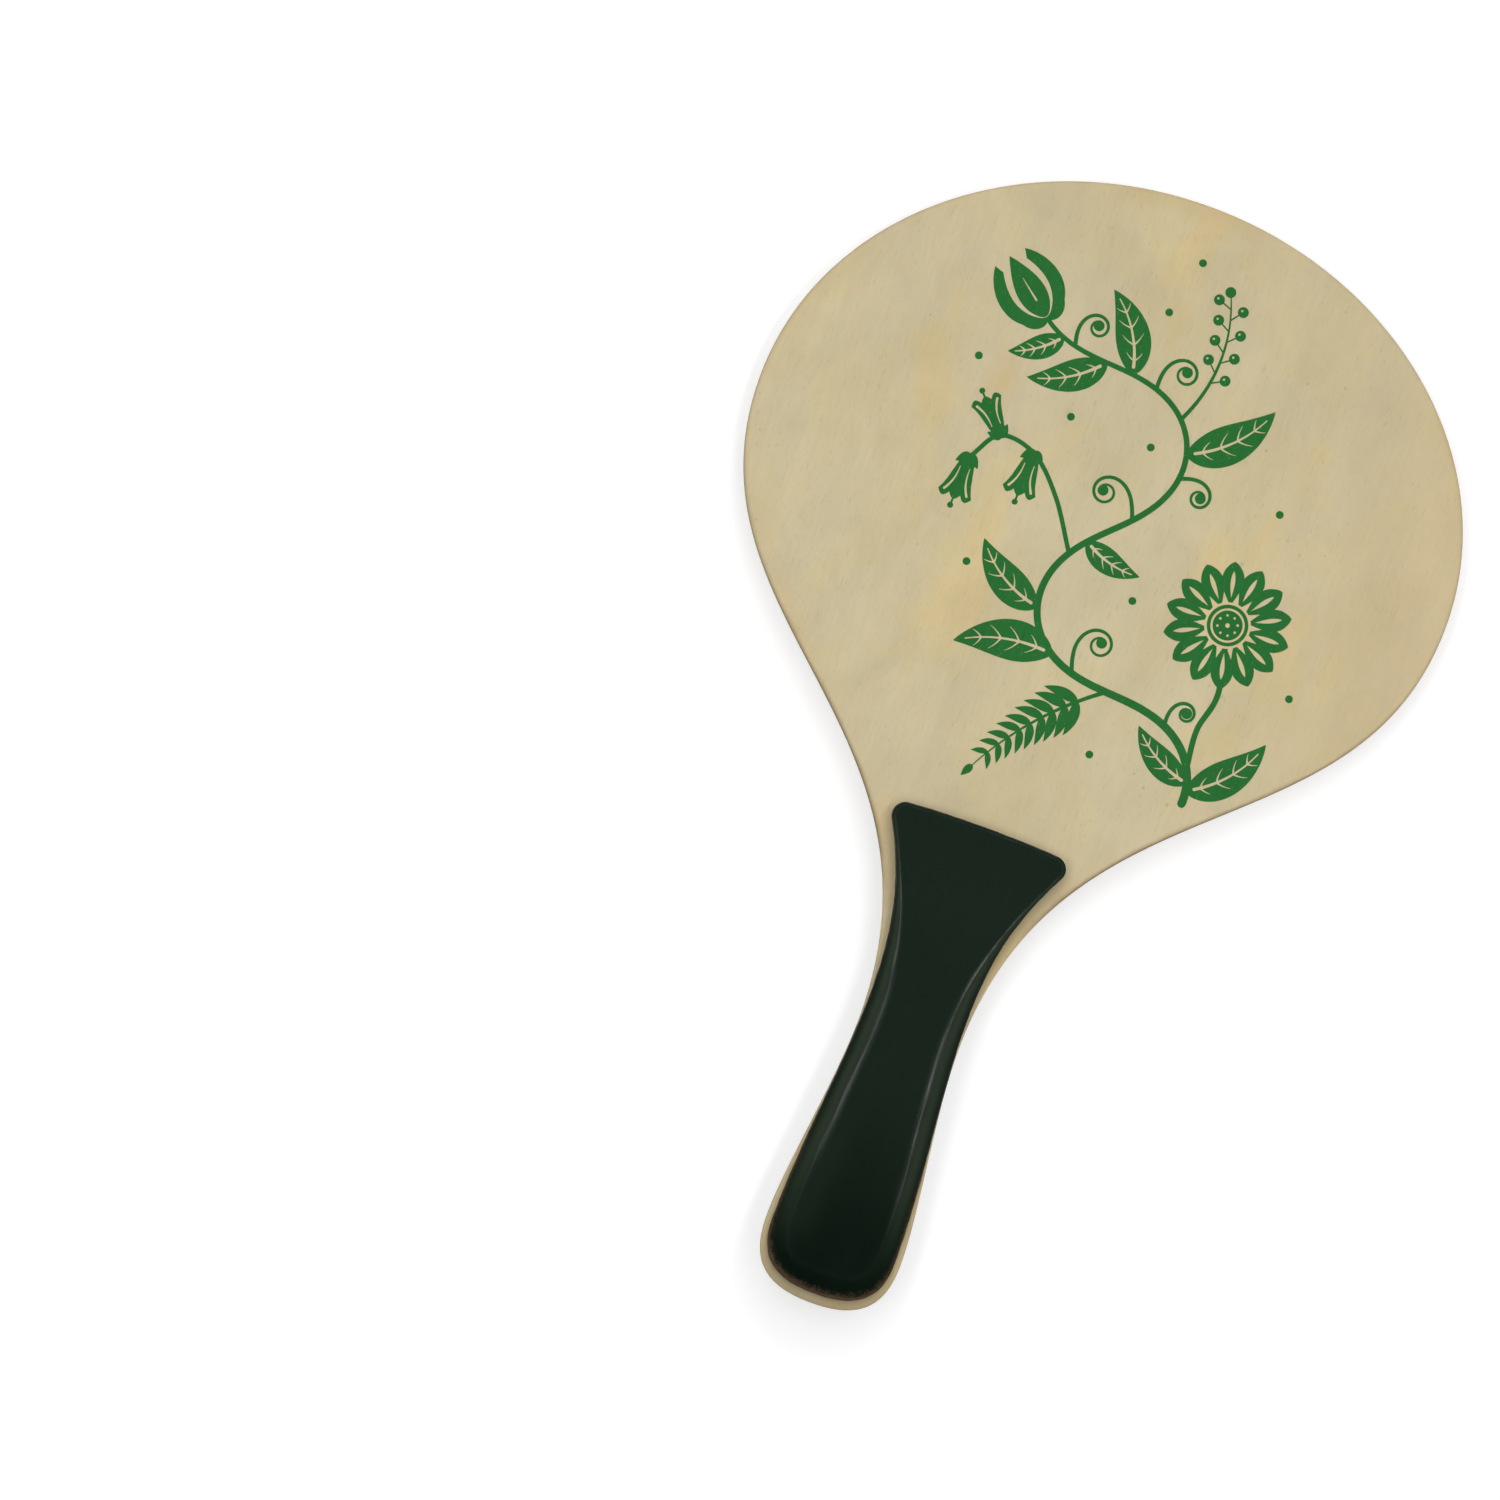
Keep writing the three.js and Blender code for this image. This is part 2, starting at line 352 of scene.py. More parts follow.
class Tree:
    """Short calls that add nodes to a tree and link them."""

    def __init__(self, tree):
        self.tree = tree

    def feed(self, socket, value):
        """Links an output to a socket, or sets the socket's value."""
        if isinstance(value, bpy.types.NodeSocket):
            self.tree.links.new(value, socket)
        elif socket.type == "RGBA" and len(value) == 3:
            socket.default_value = (*value, 1)
        else:
            socket.default_value = value

    def fill(self, made, inputs):
        """Feeds a node's inputs with values or links."""
        for key, value in inputs.items():
            self.feed(made.inputs[key], value)
        return made

    def node(self, kind, inputs=None, **settings):
        """A new node with its settings and inputs."""
        made = self.tree.nodes.new(kind)
        for key, value in settings.items():
            setattr(made, key, value)
        return self.fill(made, inputs or {})

    def math(self, operation, *values):
        """A Math node's output."""
        return self.node("ShaderNodeMath", dict(enumerate(values)), operation=operation).outputs[0]

    def chain(self, operation, *values, clamp=False):
        """One operation through all the values, from the left. Only its last step is clamped."""
        result = values[0]
        for value in values[1:]:
            result = self.math(operation, result, value)
        result.node.use_clamp = clamp
        return result

    plus = partialmethod(chain, "ADD")
    minus = partialmethod(chain, "SUBTRACT")
    times = partialmethod(chain, "MULTIPLY")
    most = partialmethod(chain, "MAXIMUM")

    def centred(self, noise, amount):
        """Noise that runs round 0 instead of 0.5, times amount."""
        return self.times(self.minus(noise, 0.5), amount)

    def ramp(self, value, low, high, start=0.0, end=1.0, kind="LINEAR"):
        """Value from low to high, put out from start to end by a straight ramp."""
        return self.node("ShaderNodeMapRange", {
            "Value": value, "From Min": low, "From Max": high, "To Min": start, "To Max": end},
            interpolation_type=kind).outputs[0]

    def between(self, value, *ends):
        """The same by a smooth step."""
        return self.ramp(value, *ends, kind="SMOOTHSTEP")

    def window(self, value, *steps):
        """Product of smooth steps of one value."""
        return self.times(*(self.between(value, *ends) for ends in steps))

    def parts(self, vector):
        """A vector's X, Y and Z."""
        return self.node("ShaderNodeSeparateXYZ", {"Vector": vector}).outputs

    def scaled(self, vector, factors):
        """The vector multiplied part by part."""
        return self.node("ShaderNodeMapping", {"Vector": vector, "Scale": factors}).outputs[0]

    def apart(self, first, second):
        """Distance between two points."""
        return self.node("ShaderNodeVectorMath", {0: first, 1: second},
                         operation="DISTANCE").outputs["Value"]

    def attribute(self, name):
        """A value kept on the mesh."""
        return self.node("ShaderNodeAttribute", attribute_name=name).outputs["Fac"]

    def noise(self, vector, scale, detail=3.0, roughness=0.5, distortion=0.0):
        """Fractal noise between 0 and 1."""
        return self.node("ShaderNodeTexNoise", {
            "Vector": vector, "Scale": scale, "Detail": detail, "Roughness": roughness,
            "Distortion": distortion}).outputs["Fac"]

    def grey(self, value):
        """A grey of that value."""
        return self.node("ShaderNodeCombineColor", {
            "Red": value, "Green": value, "Blue": value}).outputs[0]

    def mix(self, factor, first, second, blend="MIX"):
        """Colour mix."""
        return self.node("ShaderNodeMix", {0: factor, 6: first, 7: second}, data_type="RGBA",
                         blend_type=blend).outputs[2]

    def bump(self, height, distance, strength=0.5):
        """Normal from a height."""
        return self.node("ShaderNodeBump", {
            "Height": height, "Distance": distance, "Strength": strength}).outputs[0]


def cleared(holder):
    """The emptied node tree of a material or world."""
    holder.use_nodes = True
    holder.node_tree.nodes.clear()
    return Tree(holder.node_tree)


# Shared groups

def wood_figure(tree, given):
    """Veneer figure with its grain along Y, in metres: clouds, long streaks, fibres and pores."""
    grain = tree.scaled(given["Vector"], (1, 0.055, 1))
    loose = tree.scaled(given["Vector"], (1, 0.7, 1))
    cloud = tree.noise(loose, 48, 4, 0.6, 0.4)
    patch = tree.noise(loose, 24, 4, 0.55, 0.5)
    streak = tree.noise(grain, 210, 3, 0.55, 0.3)
    fibre = tree.noise(grain, 1500, 4, 0.65)
    pore = tree.between(tree.noise(tree.scaled(given["Vector"], (1, 0.12, 1)), 2600, 1), 0.66, 0.74)
    tone = tree.plus(tree.centred(cloud, given["Mottle"]), tree.centred(streak, given["Streak"]),
                     tree.centred(fibre, given["Fibre"]))
    tone = tree.minus(tone, tree.times(pore, given["Pore"]))
    warm = tree.times(tree.between(patch, 0.54, 0.68), given["Warmth"])
    base = tree.mix(warm, given["Base"], given["Warm"])
    return {"Color": tree.mix(1.0, base, tree.grey(tree.plus(tone, 1)), "MULTIPLY"),
            "Height": tree.minus(tree.times(fibre, 0.6), tree.times(pore, 0.7)), "Fibre": fibre}


def specks(tree, given):
    """Pin specks: the middles of scattered cells, kept where the cell's own draw is under Share."""
    cells = tree.node("ShaderNodeTexVoronoi", {
        "Vector": given["Vector"], "Scale": given["Scale"], "Randomness": 1.0}).outputs
    draw = tree.node("ShaderNodeSeparateColor", {"Color": cells["Color"]}).outputs[0]
    size = tree.times(tree.plus(draw, 0.35), given["Size"])
    spot = tree.ramp(cells["Distance"], 0, size, 1, 0)
    return {"Mask": tree.times(tree.math("LESS_THAN", draw, given["Share"]), spot)}


def edge_wear(tree, given):
    """Worn and stained rim: full at the edge, gone after Reach millimetres, broken up by clouds."""
    rough = tree.plus(tree.noise(given["Vector"], 90, 4, 0.6), 0.25)
    near = tree.ramp(given["Distance"], 0, tree.times(given["Reach"], rough), 1, 0)
    return {"Mask": tree.times(tree.math("POWER", near, 1.6), given["Amount"], clamp=True)}


def knot(tree, given):
    """A faint knot: a soft spot with weak rings, drawn out along Y and bent by noise."""
    shape = (1, 0.55, 0)
    away = tree.apart(tree.scaled(given["Vector"], shape), tree.scaled(given["Centre"], shape))
    away = tree.plus(away, tree.centred(tree.noise(given["Vector"], 160, 2), 0.0035))
    ripple = tree.math("SINE", tree.math("DIVIDE", tree.times(away, 14), given["Size"]))
    fade = tree.ramp(away, 0, given["Size"], 1, 0)
    return {"Mask": tree.times(tree.plus(tree.times(ripple, 0.08), 1), fade, clamp=True)}


GROUPS = {
    "Wood figure": (wood_figure, "Vector Base Warm Mottle Streak Fibre Pore Warmth",
                    "Color Height Fibre"),
    "Pin specks": (specks, "Vector Scale Share Size", "Mask"),
    "Edge wear": (edge_wear, "Vector Distance Reach Amount", "Mask"),
    "Knot": (knot, "Vector Centre Size", "Mask"),
}

# Kinds of the groups' sockets, where they aren't plain numbers
SOCKETS = {"Vector": "NodeSocketVector", "Centre": "NodeSocketVector", "Base": "NodeSocketColor",
           "Warm": "NodeSocketColor", "Color": "NodeSocketColor"}


def shared_group(name):
    """The node group of that name, built on its first use."""
    if name in bpy.data.node_groups:
        return bpy.data.node_groups[name]
    build, inputs, outputs = GROUPS[name]
    group = bpy.data.node_groups.new(name, "ShaderNodeTree")
    for way, labels in (("INPUT", inputs), ("OUTPUT", outputs)):
        for label in labels.split():
            kind = SOCKETS.get(label, "NodeSocketFloat")
            group.interface.new_socket(label, in_out=way, socket_type=kind)
    tree = Tree(group)
    given = group.nodes.new("NodeGroupInput").outputs
    tree.fill(group.nodes.new("NodeGroupOutput"), build(tree, given))
    return group


def placed(tree, name, **inputs):
    """A shared group put into a material with its own values."""
    return tree.node("ShaderNodeGroup", inputs, node_tree=shared_group(name)).outputs


# Materials

def new_material(name):
    """A new material, its tree helper, its Principled shader and its object coordinates."""
    material = bpy.data.materials.new(name)
    material.use_nodes = True
    tree = Tree(material.node_tree)
    shader = material.node_tree.nodes["Principled BSDF"]
    where = tree.node("ShaderNodeTexCoord").outputs["Object"]
    return material, tree, shader, where


def veneer_material(finish, side):
    """Pale sanded face veneer under thin satin lacquer, with warm and greyish clouds, a knot, and
    pin specks along one line of the grain and round one spot. Its rim and the head's +X side are
    rubbed warmer. The rim is stained, most at the shoulders and least beside the grip, where the
    cleaner rim is painted light against the grip's shade. The wood darkens towards the butt, a stain
    with painted shade in it, and a little towards the crown and on the head's +X side, painted shade."""
    material, tree, shader, where = new_material(f"{side} face veneer")
    shift, speck_line, knot_at = {
        "front": ((0, 0, 0), 0.068, (-0.044, 0.229, 0)),
        "back": ((0.37, 0.61, 0.2), -0.02, (0.061, 0.18, 0))}[side]
    moved = tree.node("ShaderNodeMapping", {"Vector": where, "Location": shift}).outputs[0]
    x, y, _ = tree.parts(where)
    pale = tree.between(tree.noise(tree.scaled(moved, (1, 0.8, 1)), 34, 4, 0.6, 0.5), 0.42, 0.6)
    figure = placed(tree, "Wood figure", Vector=moved, Warm=finish.veneer_warm,
                    Base=tree.mix(pale, finish.veneer, finish.veneer_pale),
                    Mottle=0.34, Streak=0.07, Fibre=0.15, Pore=0.12, Warmth=0.8)
    distance = tree.attribute("edge_distance")
    patchy = tree.between(tree.noise(moved, 16, 3), 0.47, 0.62, 0.05, 0.45)
    # The head's +X side: rubbed warmer, and a little painted shade
    side_rubbed_and_shaded = tree.between(x, 0.05, 0.11)
    rubbed = tree.most(tree.times(tree.between(distance, 8.5, 0.5), patchy),
                       tree.times(side_rubbed_and_shaded, 0.3))
    wood = tree.mix(rubbed, figure["Color"], finish.veneer_rubbed)
    eye = placed(tree, "Knot", Vector=where, Size=0.0075, Centre=knot_at)["Mask"]
    wood = tree.mix(tree.times(eye, 0.7), wood, finish.veneer_rubbed)

    # Stains, specks and painted shade
    shoulder = tree.window(y, (0.05, 0.08), (0.20, 0.10))
    # Less rim stain beside the grip: painted light that offsets the shade of the grip's walls
    beside_grip = tree.window(y, (-0.045, -0.025), (0.08, 0.05))
    amount = tree.plus(tree.times(shoulder, 0.6), tree.between(beside_grip, 0, 1, 0.25, 0.05))
    rim = placed(tree, "Edge wear", Vector=moved, Distance=distance, Reach=2.6,
                 Amount=amount)["Mask"]
    line = tree.plus(x, tree.times(tree.noise(moved, 9, 2), 0.03))
    off_line = tree.math("ABSOLUTE", tree.minus(line, speck_line))
    off_spot = tree.apart(where, (0.006, 0.117, FRONT_Z))
    share = tree.most(tree.between(off_line, 0, 0.018, 0.5, 0.07),
                      tree.between(off_spot, 0.004, 0.016, 0.5, 0))
    dots = placed(tree, "Pin specks", Vector=moved, Scale=230, Share=share, Size=0.32)["Mask"]
    ticks = placed(tree, "Pin specks", Vector=tree.scaled(moved, (1, 0.22, 1)), Scale=420,
                   Share=0.1, Size=0.2)["Mask"]
    # Darker towards the butt: a stain with painted shade from the grip in it
    handle = tree.between(y, -0.045, -0.07, 0, 0.3)
    # Darker towards the crown: painted shade
    crown = tree.between(y, 0.15, 0.32, 0, 0.07)
    # The head's +X side a little darker: painted shade
    stain = tree.most(rim, handle, crown, tree.times(side_rubbed_and_shaded, 0.05), tree.times(dots, 0.42),
                      tree.times(ticks, 0.3))
    dents = tree.minus(figure["Height"], tree.times(dots, 0.8))
    tree.fill(shader, {
        "Base Color": tree.mix(stain, wood, finish.veneer_dark),
        "Roughness": tree.between(figure["Fibre"], 0.3, 0.7, 0.55, 0.43),
        "Specular IOR Level": 0.3, "Coat Weight": 0.1, "Coat Roughness": 0.35,
        "Normal": tree.bump(dents, 0.08 * MM)})
    return material


def ply_material(finish, name, base, across):
    """Sanded edge of an inner ply: streaks along its grain, and dark glue lines above and below."""
    material, tree, shader, where = new_material(name.replace("_", " "))
    turn = (0, 0, math.pi / 2) if across else (0, 0, 0)
    turned = tree.node("ShaderNodeMapping", {"Vector": where, "Rotation": turn}).outputs[0]
    figure = placed(tree, "Wood figure", Vector=turned, Base=base, Warm=finish.veneer_dark,
                    Mottle=0.35, Streak=0.4, Fibre=0.5, Pore=0.5, Warmth=0.35)
    low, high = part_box(name)
    level = tree.parts(where)["Z"]
    depth = tree.math("MINIMUM", tree.minus(level, low.z), tree.minus(high.z, level))
    glue_line = tree.between(depth, 0.03 * MM, 0.12 * MM, 0.8, 0)
    tree.fill(shader, {
        "Base Color": tree.mix(glue_line, figure["Color"], finish.veneer_dark),
        "Roughness": 0.7, "Specular IOR Level": 0.25,
        "Normal": tree.bump(figure["Height"], 0.2 * MM, 0.7)})
    return material


def paint_material(finish):
    """Dark green satin paint over wood, brushed lengthwise. Its colour is painted lighter towards the
    head and darkest towards the butt, a painted sheen gradient, and is lighter where the palm lies;
    down the slopes of the shoulders it is painted lighter, a painted reflection of the bright
    surroundings. It is polished along the shoulders' tops, where it shines. Round its foot it is
    stained with glue, and at the butt it is chipped down to stained wood."""
    material, tree, shader, where = new_material("grip paint")
    x, y, z = tree.parts(where)
    grain = tree.scaled(where, (1, 0.05, 1))
    streak = tree.noise(grain, 380, 4, 0.6, 0.2)
    fine = tree.noise(grain, 1700, 3, 0.6)
    cloud = tree.noise(tree.scaled(where, (1, 0.4, 1)), 45, 3, 0.6)
    share = tree.attribute("round_share")
    shoulder = tree.between(share, 1.2, 0.95)
    off_middle = tree.math("ABSOLUTE", tree.minus(z, (BACK_Z + FRONT_Z) / 2))
    height = tree.times(tree.minus(off_middle, (FRONT_Z - BACK_Z) / 2), 1 / MM)

    # Paint, with a painted sheen gradient along the grip and a painted reflection down the shoulders
    # Lighter towards the head, darker towards the butt: a painted sheen gradient; the streaks and clouds
    # are dry patches in the paint
    dry = tree.plus(tree.between(y, -0.07, 0.01, 0, 0.8), tree.between(y, 0.03, 0.08, 0, 0.2),
                    tree.centred(streak, 0.4), tree.centred(cloud, 0.5), clamp=True)
    palm = tree.times(tree.between(x, -2 * MM, -13 * MM),
                      tree.window(y, (-0.005, -0.03, 0, 0.6), (-0.064, -0.048)))
    painted = tree.mix(tree.plus(dry, palm, clamp=True), finish.paint, finish.paint_dry_and_lit)
    # Lighter down the slopes of the shoulders: a painted reflection of the bright surroundings
    slope = tree.times(tree.window(share, (0, 0.5), (1, 0.56)),
                       tree.window(y, (-0.066, -0.02), (0.088, 0.08)))
    painted = tree.mix(slope, painted, finish.paint_slope_sheen)

    # Ragged edge and chips at the foot, by the height above the blade in millimetres
    ragged = tree.plus(height, tree.times(tree.noise(where, 380, 5, 0.7), 5))
    chips = tree.times(tree.noise(where, 800, 4, 0.7), 0.45)
    held = tree.plus(tree.between(y, -0.07, -0.05, 0, 0.1), tree.between(y, -0.035, 0, 0, 0.3))
    bare = tree.minus(tree.ramp(height, 8.5, 3.6, 0.02, 0.41), held, chips)
    foot = tree.most(tree.between(ragged, 3.3, 2.6), tree.between(ragged, 4.4, 3.4, 0, 0.7),
                     tree.times(tree.between(bare, -0.13, 0.17), tree.between(height, 8.4, 7.2)))
    worn = tree.mix(tree.between(y, -0.05, -0.07), finish.glue, finish.worn_wood)

    # Shine and brush marks
    polish = tree.times(tree.window(y, (-0.055, -0.005, 0.06, 1), (0.085, 0.06, 0.3, 1)),
                        tree.between(streak, 0.36, 0.62, 1, 0.4), tree.between(share, 0.2, 0.55),
                        tree.plus(0.06, tree.times(shoulder, 0.5)))
    wall = tree.between(height, 7.2, 4.5)
    brushed = tree.plus(tree.times(streak, 0.6), tree.times(fine, 0.4))
    along = tree.plus(0.08, tree.times(shoulder, tree.between(y, -0.066, -0.05)))
    tree.fill(shader, {
        "Base Color": tree.mix(foot, painted, worn),
        "Roughness": tree.plus(tree.between(fine, 0.35, 0.65, 0.5, 0.6), tree.times(wall, 0.3)),
        "Specular IOR Level": 0.025, "Coat Weight": polish, "Coat Roughness": 0.26,
        "Normal": tree.bump(tree.times(brushed, along), 0.3 * MM)})
    return material


def ink_material(finish):
    """Screen-printing ink: green, a little uneven, with pinholes that show the veneer."""
    material, tree, shader, where = new_material("green ink")
    figure = placed(tree, "Wood figure", Vector=where, Base=finish.ink, Warm=finish.ink,
                    Mottle=0.25, Streak=0.2, Fibre=0.35, Pore=0.2, Warmth=0)
    holes = tree.between(tree.noise(where, 2400, 2), 0.70, 0.76, 0, 0.45)
    tree.fill(shader, {
        "Base Color": tree.mix(holes, figure["Color"], finish.veneer), "Roughness": 0.45,
        "Specular IOR Level": 0.15, "Normal": tree.bump(figure["Height"], 0.06 * MM)})
    return material


def glue_material(finish):
    """Dry wood glue mixed with paint and dust."""
    material, tree, shader, where = new_material("dry glue")
    clots = tree.noise(where, 700, 3, 0.6)
    tree.fill(shader, {
        "Base Color": tree.mix(tree.between(clots, 0.35, 0.65), finish.glue, finish.paint),
        "Roughness": 0.45, "Normal": tree.bump(clots, 0.1 * MM)})
    return material


# Print motifs, in millimetres

STROKE_STEP = 0.4


def walked(start, headings, step=STROKE_STEP):
    """Points reached from start by walking one step along each heading."""
    moves = step * np.column_stack([np.cos(headings), np.sin(headings)])
    return np.vstack([start, start + np.cumsum(moves, axis=0)])


def normals(path):
    """Unit normals to the left of a path."""
    along = tangents(path)
    return np.column_stack([-along[:, 1], along[:, 0]])


def band(path, width):
    """A stroke: the path moved to each side by half its width, with half-round ends."""
    half = (np.zeros(len(path)) + np.asarray(width) / 2)[:, None]
    side, along = normals(path), tangents(path)
    arc = np.linspace(0, math.pi, 9)[1:-1, None]
    far = path[-1] + half[-1] * (np.cos(arc) * side[-1] + np.sin(arc) * along[-1])
    near = path[0] - half[0] * (np.cos(arc) * side[0] + np.sin(arc) * along[0])
    return np.vstack([path + side * half, far, (path - side * half)[::-1], near])


def facing(heading):
    """Unit vectors along a heading and to its left."""
    out = np.array([math.cos(heading), math.sin(heading)])
    return out, np.array([-out[1], out[0]])


def disc(centre, radius, count=20):
    """A round dot."""
    turn = np.linspace(0, 2 * math.pi, count, endpoint=False)
    return centre + radius * np.column_stack([np.cos(turn), np.sin(turn)])


def through(points):
    """Smooth curve through a few points a, b, c, d and on: between b and c it is the cubic that
    passes both, with slopes (c - a) / 2 and (d - b) / 2."""
    points = np.asarray(points, float)
    points = np.vstack([2 * points[0] - points[1], points, 2 * points[-1] - points[-2]])
    u = np.linspace(0, 1, 40, endpoint=False)[:, None, None]
    a, b, c, d = points[:-3], points[1:-2], points[2:-1], points[3:]
    path = 0.5 * (2 * b + (c - a) * u + (2 * a - 5 * b + 4 * c - d) * u ** 2
                  + (3 * b - a - 3 * c + d) * u ** 3)
    return spaced(np.vstack([path.transpose(1, 0, 2).reshape(-1, 2), points[-2]]), STROKE_STEP)


def tendril(start, heading, reach, turn, tightness, width=1.4, knob=1.8):
    """A curl: the heading turns with the given power of the way along, up to a round knob."""
    way = np.arange(0, reach, STROKE_STEP) / reach
    path = walked(start, heading + turn * way ** tightness)
    inside = normals(path)[-1] * np.sign(turn)
    widths = width * (1 - 0.45 * np.linspace(0, 1, len(path)))
    return [(band(path, widths), True), (disc(path[-1] + inside * (knob - width * 0.3), knob), True)]


def leaf(base, heading, reach, width, curl=0.0, veins=4, fullest=0.75):
    """A leaf on a bent rib, with a bare rib and bare side veins: half width =
    width / 2 * sin(pi u^fullest)^0.9 at the share u of its length."""
    count = int(reach / STROKE_STEP)
    u = np.linspace(0, 1, count + 1)
    path = walked(base, heading + curl * (u[:-1] - 0.3), reach / count)
    side, along = normals(path), tangents(path)
    half = (width / 2 * np.sin(math.pi * u ** fullest) ** 0.9 + 0.35 * (1 - u))[:, None]
    layers = [(np.vstack([path + side * half, (path - side * half)[::-1]]), True)]
    if veins:
        rib = (u > 0.08) & (u < 0.88)
        layers.append((band(path[rib], (0.9 * (1 - u) + 0.25)[rib]), False))
    v = np.linspace(0, 1, 9)
    for vein in range(veins):
        at = int(count * (0.16 + 0.56 * vein / max(veins - 1, 1)))
        for hand in (1, -1):
            lean = math.atan2(along[at, 1], along[at, 0]) + hand * (1.0 - 0.5 * v[:-1])
            line = walked(path[at], lean, float(half[at, 0]) * 0.86 / 8)
            layers.append((band(line, 0.5 * (1 - v) + 0.12), False))
    return layers


def bell(base, heading, reach, width):
    """A hanging bell with a mouth of three points: half width = width / 2 * (0.34 + 0.2 sin(pi u)
    + 0.66 u^3), with bare lines up from the mouth, a cap of three small leaves and a clapper."""
    out, across = facing(heading)
    u = np.linspace(0, 1, 24)
    half = width / 2 * (0.34 * np.minimum(1, 6 * u) + 0.2 * np.sin(math.pi * u) + 0.66 * u ** 3)
    v = np.linspace(1, -1, 31)
    mouth = 1 + 0.13 * np.abs(np.cos(1.5 * math.pi * v))
    side = base + reach * u[:, None] * out
    rim = base + reach * mouth[:, None] * out + v[:, None] * half[-1] * across
    layers = [(band(base + np.outer(np.linspace(0.8, 1.28, 8), reach * out), 0.7), True),
              (disc(base + 1.3 * reach * out, 1.0, 14), True),
              (np.vstack([side + half[:, None] * across, rim[1:-1],
                          (side - half[:, None] * across)[::-1]]), True)]
    w = np.linspace(0, 1, 12)
    for share in (-0.34, 0.34):
        line = (base + reach * (0.3 + 0.66 * w)[:, None] * out
                + share * width * (0.42 + 0.58 * w ** 2.5)[:, None] * across)
        layers.append((band(line, 0.25 + 0.55 * w), False))
    for lean in (-0.8, 0, 0.8):
        layers += leaf(base - out, heading + lean, reach * 0.42, width * 0.22, veins=0)
    return layers


def petal(centre, heading, inner, outer, width):
    """A petal from inner to outer radius: half width = width / 2 * sin(pi u^1.35)^0.75."""
    u = np.linspace(0, 1, 26)
    out, across = facing(heading)
    rib = centre + (inner + (outer - inner) * u)[:, None] * out
    half = (width / 2 * np.clip(np.sin(math.pi * u ** 1.35), 0, None) ** 0.75)[:, None] * across
    return np.vstack([rib + half, (rib - half)[-2:0:-1]])


def daisy(centre, petals, inner, outer, width, turn=0.0):
    """Long solid petals, each with a bare slit, round a ringed and dotted eye."""
    layers, span = [], outer - inner
    for heading in turn + 2 * math.pi * np.arange(petals) / petals:
        layers.append((petal(centre, heading, inner, outer, width), True))
        layers.append((petal(centre, heading, inner + span * 0.18, outer - span * 0.22,
                             width * 0.2), False))
    for radius, inked in ((1.2, False), (0.4, True), (-0.8, False), (-1.5, True)):
        layers.append((disc(centre, inner + radius, 48), inked))
    for heading in 2 * math.pi * np.arange(8) / 8:
        layers.append((disc(centre + (inner - 3.1) * facing(heading)[0], 0.42, 12), False))
    return layers + [(disc(centre, 0.75, 14), False)]


def bud(base, heading, reach, width):
    """A closed bud: sepals, two outer petals, a bare seam and a middle petal with a stroke."""
    out = facing(heading)[0]
    layers = []
    for lean, size, spread, curl in ((1.15, 0.42, 0.26, 0.9), (0.42, 1.0, 0.62, 0.95)):
        for hand in (1, -1):
            layers += leaf(base, heading + hand * lean, reach * size, width * spread,
                           -hand * curl, veins=0)
    seam = leaf(base + out * 0.6, heading, reach * 1.12, width * 0.7, veins=0)[0][0]
    layers.append((seam, False))
    layers += leaf(base + out * 0.8, heading, reach * 0.92, width * 0.5, veins=0)
    w = np.linspace(0, 1, 8)
    stroke = base + out * (reach * (0.28 + 0.34 * w))[:, None]
    return layers + [(band(stroke, 0.55 * (1 - w) + 0.15), False)]


def bent(start, heading, reach, curl):
    """A path that turns evenly by curl, its headings, and the share of its length at each point."""
    share = np.linspace(0, 1, int(reach / STROKE_STEP) + 1)
    path = walked(start, heading + curl * share[:-1])
    return path, np.arctan2(*tangents(path).T[::-1]), share


def frond(start, heading, reach, curl, pairs, size):
    """A bent rib with pairs of small leaves that shrink towards its tip."""
    path, headings, u = bent(start, heading, reach, curl)
    layers = [(band(path, 1.1 * (1 - u) + 0.35), True)]
    for pair in range(pairs):
        at = int((len(path) - 1) * (0.2 + 0.76 * pair / pairs))
        small = size * (1 - 0.6 * pair / pairs)
        for hand in (1, -1):
            layers += leaf(path[at], headings[at] + hand * 0.9, small, small * 0.27,
                           -hand * 0.5, veins=0)
    return layers + leaf(path[-1], headings[-1], size * 0.42, size * 0.18, veins=0)


def berries(start, heading, reach, curl, count, radius, stalk):
    """A sprig of round berries on short stalks, left and right by turns."""
    path, headings, u = bent(start, heading, reach, curl)
    layers = [(band(path, 1.0 * (1 - u) + 0.4), True), (disc(path[-1], radius), True)]
    for berry in range(count):
        at = int((len(path) - 1) * (0.3 + 0.62 * (berry + 0.5) / count))
        tip = path[at] + stalk * facing(headings[at] + (0.9 if berry % 2 else -0.9))[0]
        layers += [(band(np.linspace(path[at], tip, 6), 0.5), True), (disc(tip, radius), True),
                   (disc(tip + radius * np.array([-0.2, 0.27]), radius * 0.22, 10), False)]
    return layers


